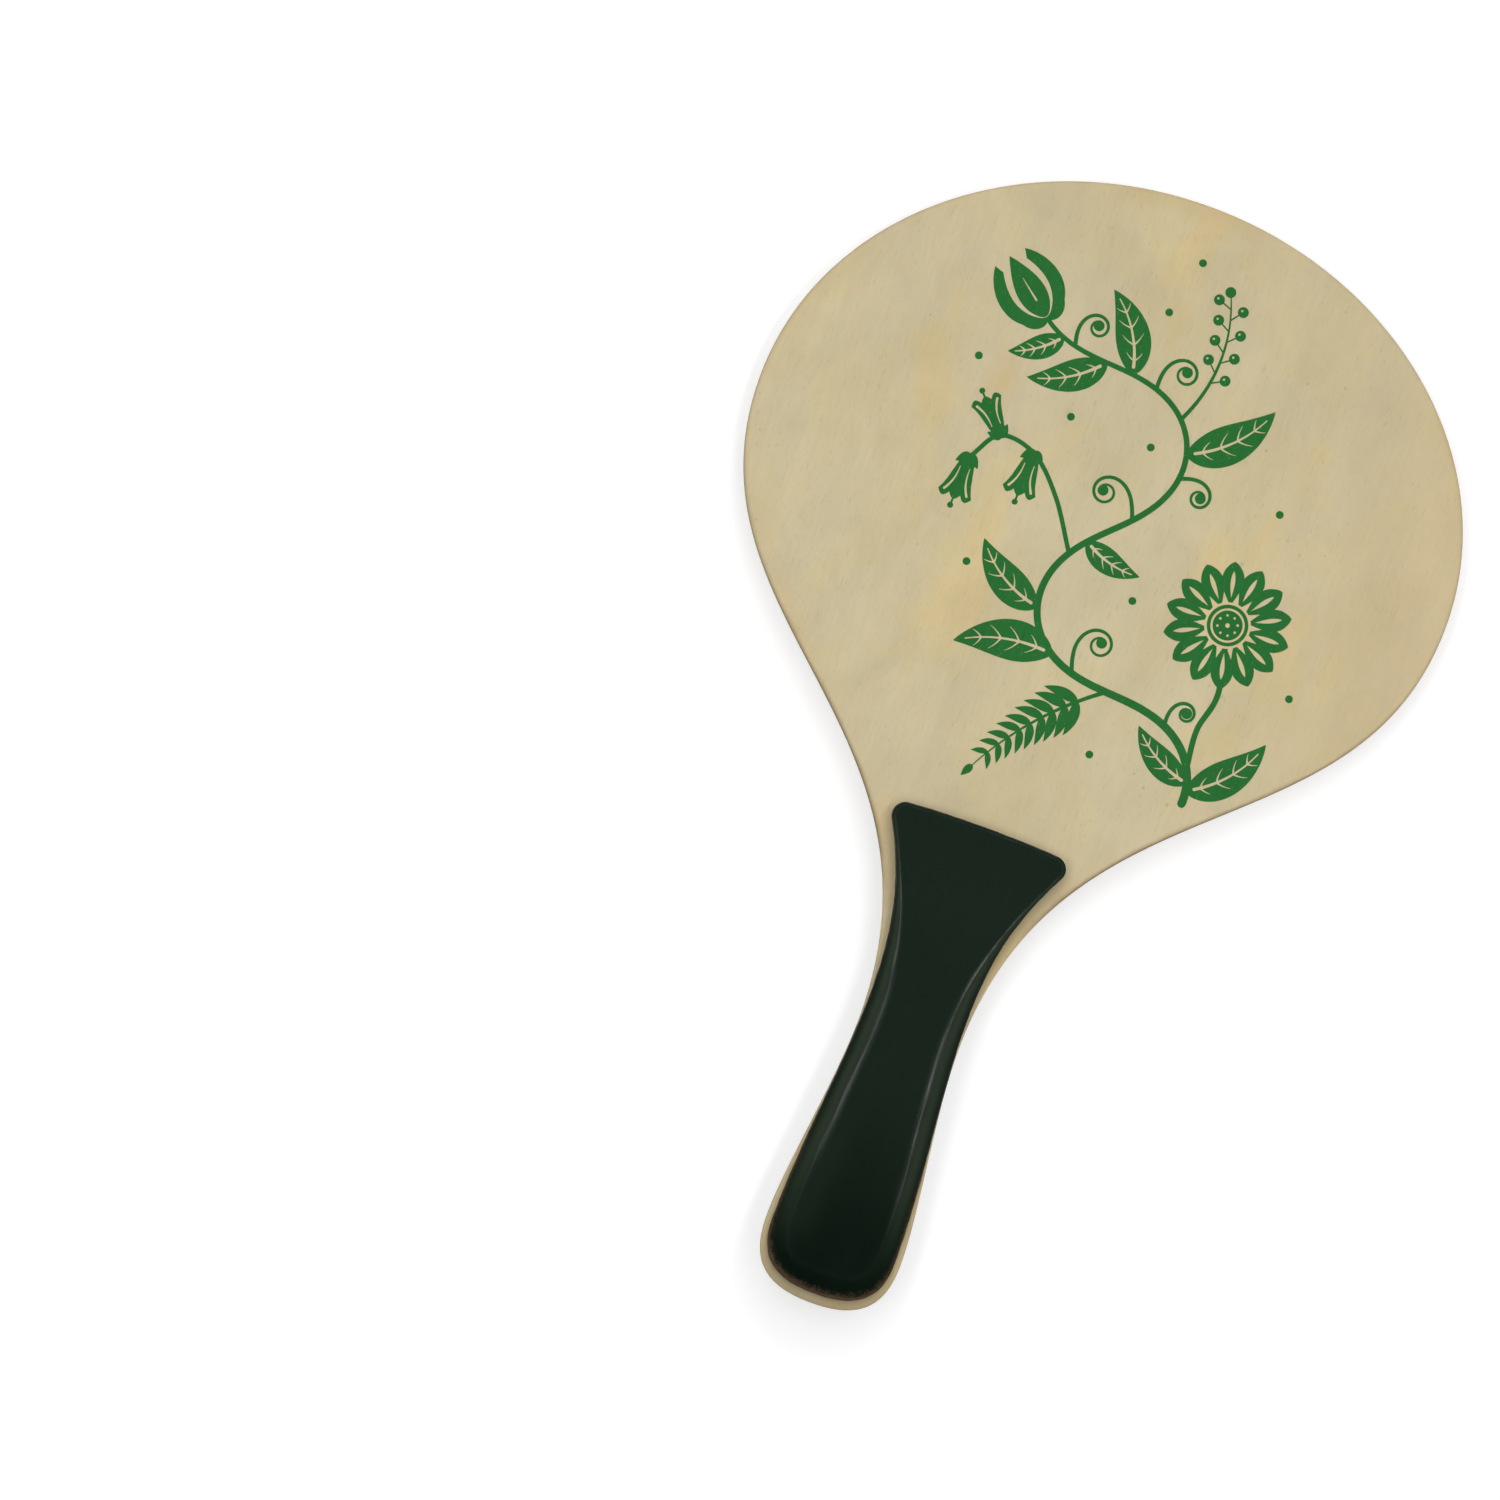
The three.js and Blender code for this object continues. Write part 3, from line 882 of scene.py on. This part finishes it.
def scroll_layers():
    """The whole scroll, drawn upright and centred: a vine that swings from side to side, with
    flowers, leaves, a frond, berries and curls grown from places along it."""
    run = 232
    way = np.arange(0, run, STROKE_STEP) / run
    swing = math.radians(90) + math.radians(66) * np.sin(2 * math.pi * 1.5 * way - math.radians(20))
    vine = walked((20, -92), swing)
    headings = np.append(swing, swing[-1])

    def grown(kind, share, turn, *sizes):
        """A motif that starts at that share of the vine, turned off its heading by degrees."""
        at = int(share * (len(vine) - 1))
        return kind(vine[at], headings[at] + math.radians(turn), *sizes)

    def stalk(share, points, width):
        """A stroke from that share of the vine through the points."""
        return [(band(through([vine[int(share * (len(vine) - 1))], *points]), width), True)]

    daisy_at, arch = (35, -34), [(-21, 8), (-28, 22), (-39, 28), (-49, 21)]
    layers = stalk(0.05, [(25, -68), (32, -56), daisy_at], 1.9)
    layers += stalk(0.47, arch, 1.5)
    for share, turn, reach, swirl, tight in (
            (0.12, -62, 27, -8.2, 1.9), (0.27, -55, 42, -8.6, 2.0), (0.57, 62, 42, 8.8, 2.0),
            (0.66, -62, 30, -8.0, 1.9), (0.80, -70, 36, -8.2, 1.9), (0.93, -62, 32, -8.0, 1.9)):
        layers += grown(tendril, share, turn, reach, swirl, tight)
    layers.append((band(vine, 2.8 - 1.3 * np.linspace(0, 1, len(vine))), True))
    for share, turn, reach, width, curl in (
            (0.02, -58, 31, 11.5, 0.8), (0.03, 52, 25, 9, -0.7), (0.31, 38, 33, 13, 0.7),
            (0.38, 52, 29, 11, -0.8), (0.50, -70, 21, 8, 0.7), (0.695, -68, 33, 12.5, 0.8),
            (0.84, -60, 29, 11, 0.8), (0.88, 42, 27, 10, -0.7), (0.95, 62, 19, 7.5, -0.6)):
        layers += grown(leaf, share, turn, reach, width, curl)
    layers += grown(frond, 0.215, 40, 50, 0.45, 9, 12)
    layers += grown(berries, 0.745, -72, 46, 0.9, 8, 1.8, 5.0)
    layers += daisy(daisy_at, 14, 6.4, 21, 7.3, 0.1)
    for spot, hang, reach, width in zip(arch[1:], (-112, 112, -112), (13, 12, 13), (11.5, 10.5, 11.5)):
        layers += bell(spot, math.radians(hang), reach, width)
    layers += grown(bud, 0.985, 0, 25, 18)
    for spot in ((-10, -76), (55, -58), (4, -26), (-50, -13), (-16, 34), (-46, 54), (52, 2),
                 (10, 24), (27, 84), (16, 68)):
        layers.append((disc(spot, 1.3, 16), True))
    return layers


def counterclockwise(polygon):
    """The polygon, turned round if its signed area is negative."""
    x, y = polygon.T
    area = np.sum(x * np.roll(y, -1) - y * np.roll(x, -1))
    return polygon if area > 0 else polygon[::-1]


def ink_mesh(layers):
    """One flat triangulation of all layers: each triangle is inked or bare by the last layer that
    covers it, so that later layers lie over earlier ones."""
    polygons = [counterclockwise(polygon) for polygon, _ in layers]
    inked = np.array([ink for _, ink in layers])
    ends = np.cumsum([len(polygon) for polygon in polygons])
    loops = [list(range(end - len(polygon), end)) for polygon, end in zip(polygons, ends)]
    corners = [Vector(corner) for corner in np.vstack(polygons).tolist()]
    points, _, faces, _, _, owners = delaunay_2d_cdt(corners, [], loops, 1, 1e-4, True)
    kept = [face for face, owner in zip(faces, owners) if owner and inked[max(owner)]]
    return np.array(points), np.array(kept)


def film_faces(flat, count):
    """Top, underside and walls of a film: a wall stands on every edge that one triangle has."""
    edges = np.vstack([flat[:, [0, 1]], flat[:, [1, 2]], flat[:, [2, 0]]])
    keys = np.sort(edges, axis=1) @ np.array([count, 1])
    _, place, uses = np.unique(keys, return_inverse=True, return_counts=True)
    rim = edges[uses[place] == 1]
    sides = np.column_stack([rim[:, 0] + count, rim[:, 1] + count, rim[:, 1], rim[:, 0]])
    return flat.tolist() + (flat[:, ::-1] + count).tolist() + sides.tolist()


# Pieces

class BAT_OT_blade(bpy.types.Operator):
    """Build the five plies of the blade"""
    bl_idname = "bat.blade"
    bl_label = "Blade Plies"
    bl_options = {"REGISTER", "UNDO"}

    def execute(self, context):
        sizes, finish = context.scene.bat_blade, context.scene.bat_finish
        outline = mirrored(half_path(blade_spans(sizes), BLADE_STEP))
        for side in SIDES:
            self.face_veneer(outline, sizes, finish, side)
        for name in PLIES:
            self.inner_ply(outline, sizes, finish, name)
        return {"FINISHED"}

    def face_veneer(self, outline, sizes, finish, side):
        """Upright edge, quarter-round rim with inset = ease (1 - cos a) and rise = top -
        ease (1 - sin a), and flat face, whose inner rings only carry the distance from the edge."""
        low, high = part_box(f"{side}_face_veneer")
        ease = sizes.rim_easing
        quarter = np.linspace(0, math.pi / 2, 9)
        top = high.z - low.z
        flat = ease + np.array([0.3, 2, 4, 8]) * MM
        inset = np.concatenate([[0], ease * (1 - np.cos(quarter)), flat])
        rise = np.concatenate([[0], top - ease * (1 - np.sin(quarter)), np.full(len(flat), top)])
        if side == "back":
            inset, rise = inset[::-1], (top - rise)[::-1]
        rings = [ring(outline, i, low.z + r) for i, r in zip(inset, rise)]
        piece = lofted(f"{side}_face_veneer_skin", rings, "edge_distance",
                       inset / MM)
        piece.data.materials.append(veneer_material(finish, side))
        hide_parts(f"{side}_face_veneer")

    def inner_ply(self, outline, sizes, finish, name):
        """Straight edge whose first and last rings are set in, which leaves a fine groove at each
        glue line."""
        low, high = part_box(name)
        groove = sizes.ply_groove
        inset = np.array([groove, 0, 0, groove])
        levels = np.array([low.z, low.z + 2 * groove, high.z - 2 * groove, high.z])
        rings = [ring(outline, i, level) for i, level in zip(inset, levels)]
        across = "cross" in name
        piece = lofted(f"{name}_ply", rings, "edge_distance", inset / MM)
        base = finish.cross_band if across else finish.core
        piece.data.materials.append(ply_material(finish, name, base, across))
        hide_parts(name)


class BAT_OT_grip(bpy.types.Operator):
    """Build the grip scales and the glue round their feet"""
    bl_idname = "bat.grip"
    bl_label = "Grip Scales"
    bl_options = {"REGISTER", "UNDO"}

    def execute(self, context):
        blade, grip = context.scene.bat_blade, context.scene.bat_grip
        finish = context.scene.bat_finish
        outline = mirrored(half_path(scale_spans(blade, grip), SCALE_STEP))
        paint, glue = paint_material(finish), glue_material(finish)
        for side in SIDES:
            self.scale(outline, grip, side).data.materials.append(paint)
            self.bead(outline, grip, side).data.materials.append(glue)
            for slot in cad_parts[f"{side}_glue_film"].material_slots:
                slot.material = glue
        return {"FINISHED"}

    def scale(self, outline, grip, side):
        """Foot, upright wall, round-over of changing width and height, and flat top. At the turn a
        across the round-over, inset = width (1 - cos a) + facet cos a and rise = top -
        height (1 - sin a) - facet sin a, where facet is what sanding took off."""
        low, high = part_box(f"{side}_grip_scale")
        top = high.z - low.z
        place = outline[0][:, 1]
        turns = np.linspace(0, 1, len(place), endpoint=False)
        runout = smooth_step(place, grip.runout_from, grip.runout_to)
        butt = smooth_step(place, grip.butt_margin, grip.butt_round_to)
        hand = blend_of(grip.round_hand, grip.round_throat, runout)
        width = blend_of(grip.round_butt, hand, butt)
        height = blend_of(grip.round_height, grip.round_throat, runout)
        width = width * (1 + 0.05 * sine_sum(turns, (3, 7, 11, 17), SEEDS[side]["wander"]))
        depth = grip.facet_depth * width / grip.round_hand
        inset, rise = [0 * width], [0 * width]
        for turn in np.linspace(0, math.pi / 2, 33):
            facet = depth * sanded(turn, turns, SEEDS[side]["facets"])
            inset.append(width * (1 - math.cos(turn)) + facet * math.cos(turn))
            level = top - height * (1 - math.sin(turn)) - facet * math.sin(turn)
            rise.append(np.minimum(level, top))
        for margin in (0.3 * MM, 1.5 * MM):
            inset.append(width + margin)
            rise.append(top + 0 * width)
        if side == "back":
            inset, rise = inset[::-1], [top - level for level in rise[::-1]]
        rings = [ring(outline, i, low.z + r) for i, r in zip(inset, rise)]
        piece = lofted(f"{side}_grip_scale_shaped", rings, "round_share",
                       [level / width for level in inset])
        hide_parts(f"{side}_grip_scale")
        return piece

    def bead(self, outline, grip, side):
        """Glue squeezed out round the foot: a small round section of uneven radius carried along
        the outline."""
        low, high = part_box(f"{side}_glue_film")
        level = low.z if side == "front" else high.z
        points, inward = outline
        count, spots = len(points), 10
        turns = np.linspace(0, 1, count, endpoint=False)
        wobble = sine_sum(turns, (5, 13, 23, 41, 67), SEEDS[side]["bead"])
        radius = grip.bead_radius * (1 + 0.35 * wobble)
        section = np.linspace(0, 2 * math.pi, spots, endpoint=False)[:, None]
        out = -radius * np.cos(section)
        path = points[None] + inward[None] * out[..., None]
        tube = np.dstack([path[..., 0], path[..., 1] + BUTT_Y, level + radius * np.sin(section)])
        here = np.arange(count * spots).reshape(count, spots)
        ahead = np.roll(here, -1, axis=0)
        faces = np.stack([here, ahead, np.roll(ahead, -1, axis=1), np.roll(here, -1, axis=1)],
                         axis=-1).reshape(-1, 4).tolist()
        points = tube.transpose(1, 0, 2).reshape(-1, 3)
        return finished(f"{side}_glue_bead", points, faces)


class BAT_OT_print(bpy.types.Operator):
    """Print the plant scroll on the front face"""
    bl_idname = "bat.print"
    bl_label = "Printed Scroll"
    bl_options = {"REGISTER", "UNDO"}

    def execute(self, context):
        place, finish = context.scene.bat_print, context.scene.bat_finish
        drawn, flat = ink_mesh(scroll_layers())
        cos, sin = math.cos(place.lean), math.sin(place.lean)
        turned = drawn * MM @ np.array([[cos, sin], [-sin, cos]])
        spot = turned + (place.across, place.along + BUTT_Y)
        count = len(spot)
        levels = np.repeat([FRONT_Z + place.film, FRONT_Z], count)
        points = np.column_stack([np.vstack([spot, spot]), levels])
        piece = finished("printed_scroll", points, film_faces(flat, count))
        piece.data.materials.append(ink_material(finish))
        return {"FINISHED"}


def smooth_step(value, low, high):
    """3t^2 - 2t^3 for t from 0 at low to 1 at high."""
    t = np.clip((value - low) / (high - low), 0, 1)
    return t * t * (3 - 2 * t)


def blend_of(first, second, share):
    """First where share is 0, second where it is 1."""
    return first + (second - first) * share


# Stage

class BAT_OT_stage(bpy.types.Operator):
    """Set the floor, lamps, world and camera"""
    bl_idname = "bat.stage"
    bl_label = "Stage"
    bl_options = {"REGISTER", "UNDO"}

    def execute(self, context):
        settings = context.scene.bat_stage
        self.floor(settings)
        self.lamps(settings)
        self.world(context.scene, settings)
        self.camera(context.scene, settings)
        context.scene.view_settings.view_transform = "Standard"
        return {"FINISHED"}

    def floor(self, settings):
        """The bat tips onto the rim of its head, so the floor is the plane through the throat edge
        of the back scale and the rim at the crown. Away from the bat it fades to the white of the
        background, and from below it is clear."""
        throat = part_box("back_grip_scale")[1].y
        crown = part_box("back_face_veneer")[1].y
        slope = BACK_Z / (crown - throat)
        reach, gap = settings.floor_size / 2, 0.1 * MM
        corners = [(x, y, (y - throat) * slope - gap) for x, y in
                   ((-reach, -reach), (reach, -reach), (reach, reach), (-reach, reach))]
        mesh = bpy.data.meshes.new("floor")
        mesh.from_pydata(corners, [], [(0, 1, 2, 3)])
        floor = added("floor", mesh)
        material = bpy.data.materials.new("white floor")
        tree = cleared(material)
        path = tree.node("ShaderNodeLightPath").outputs
        seen = tree.most(path["Is Camera Ray"], path["Is Glossy Ray"])
        white = tree.grey(tree.between(seen, 0, 1, 0.78, 0.5))
        matt = tree.node("ShaderNodeBsdfDiffuse", {"Color": white}).outputs[0]
        glow = tree.node("ShaderNodeEmission", {"Strength": tree.times(seen, 0.6)}).outputs[0]
        surface = tree.node("ShaderNodeAddShader", {0: matt, 1: glow}).outputs[0]
        where = tree.node("ShaderNodeTexCoord").outputs["Object"]
        apart = tree.apart(where, (0, BUTT_Y + BLADE_LENGTH / 2, 0))
        far = tree.times(tree.between(apart, BLADE_LENGTH, 3 * BLADE_LENGTH), seen)
        backdrop = tree.node("ShaderNodeEmission", {"Strength": 1.0}).outputs[0]
        clear = tree.node("ShaderNodeBsdfTransparent").outputs[0]
        below = tree.times(tree.node("ShaderNodeNewGeometry").outputs["Backfacing"],
                           path["Is Camera Ray"])
        for share, other in ((far, backdrop), (below, clear)):
            surface = tree.node("ShaderNodeMixShader", {0: share, 1: surface, 2: other}).outputs[0]
        tree.node("ShaderNodeOutputMaterial", {"Surface": surface})
        mesh.materials.append(material)

    def lamps(self, settings):
        """A wide soft box beyond the head, and a long narrow one on each side that draws a bright
        line along the grip's shoulders."""
        for name, place, aim, size, power in (
                ("head lamp", (0, 2.4, 2.9), 0.05, (3.0, 1.0), settings.head_power),
                ("left lamp", (-0.5, 0.18, 1.68), 0.28, (1.4, 0.36), settings.side_power),
                ("right lamp", (0.5, 0.18, 1.68), 0.28, (1.4, 0.16), settings.side_power)):
            data = bpy.data.lights.new(name, "AREA")
            data.shape = "RECTANGLE"
            data.size, data.size_y = size
            data.energy = power
            lamp = added(name, data)
            lamp.location = place
            way = Vector(place) - Vector((0, aim, FRONT_Z))
            lamp.rotation_euler = way.to_track_quat("Z", "Y").to_euler()

    def world(self, scene, settings):
        """White for the camera. For the bat it is bright round the horizon and dark overhead, as
        in a room with white walls whose camera hides the ceiling."""
        scene.world = bpy.data.worlds.new("plain sky")
        tree = cleared(scene.world)
        seen = tree.node("ShaderNodeLightPath").outputs["Is Camera Ray"]
        rise = tree.parts(tree.node("ShaderNodeTexCoord").outputs["Generated"])["Z"]
        strength = tree.most(tree.ramp(rise, 0.05, 0.95, settings.sky, 0.04), seen)
        light = tree.node("ShaderNodeBackground", {"Color": (1, 1, 1), "Strength": strength})
        tree.node("ShaderNodeOutputWorld", {"Surface": light.outputs[0]})

    def camera(self, scene, settings):
        """Square above the front face, turned so that the bat leans as in the picture."""
        data = bpy.data.cameras.new("camera")
        data.sensor_width = 36
        data.lens = data.sensor_width * settings.camera_height / settings.frame_width
        data.clip_end = 50
        camera = added("camera", data)
        camera.location = (settings.frame_x, settings.frame_y, FRONT_Z + settings.camera_height)
        camera.rotation_euler = (0, 0, settings.bat_lean)
        scene.camera = camera


class BAT_PT_panel(bpy.types.Panel):
    """Sizes, colours and steps of the bat"""
    bl_idname = "BAT_PT_panel"
    bl_label = "Beach Bat"
    bl_space_type = "VIEW_3D"
    bl_region_type = "UI"
    bl_category = "Beach Bat"

    def draw(self, context):
        for label, (name, group) in SETTINGS.items():
            box = self.layout.box()
            box.label(text=label)
            for size in group.__annotations__:
                box.prop(getattr(context.scene, name), size)
        for operator in OPERATORS:
            self.layout.operator(operator.bl_idname)


SETTINGS = {
    "Blade": ("bat_blade", BladeSizes),
    "Grip": ("bat_grip", GripSizes),
    "Print": ("bat_print", PrintSizes),
    "Finish": ("bat_finish", Finishes),
    "Stage": ("bat_stage", StageSettings),
}
OPERATORS = (BAT_OT_blade, BAT_OT_grip, BAT_OT_print, BAT_OT_stage)


def register():
    """Registers the classes and hangs the settings on the scene."""
    for name, group in SETTINGS.values():
        bpy.utils.register_class(group)
        setattr(bpy.types.Scene, name, bpy.props.PointerProperty(type=group))
    for kind in (*OPERATORS, BAT_PT_panel):
        bpy.utils.register_class(kind)


def unregister():
    """Takes the classes and settings away again."""
    for kind in (BAT_PT_panel, *reversed(OPERATORS)):
        bpy.utils.unregister_class(kind)
    for name, group in SETTINGS.values():
        delattr(bpy.types.Scene, name)
        bpy.utils.unregister_class(group)


def main():
    """Builds the bat and its stage."""
    register()
    bpy.ops.bat.blade()
    bpy.ops.bat.grip()
    bpy.ops.bat.print()
    bpy.ops.bat.stage()


if __name__ == "__main__":
    main()
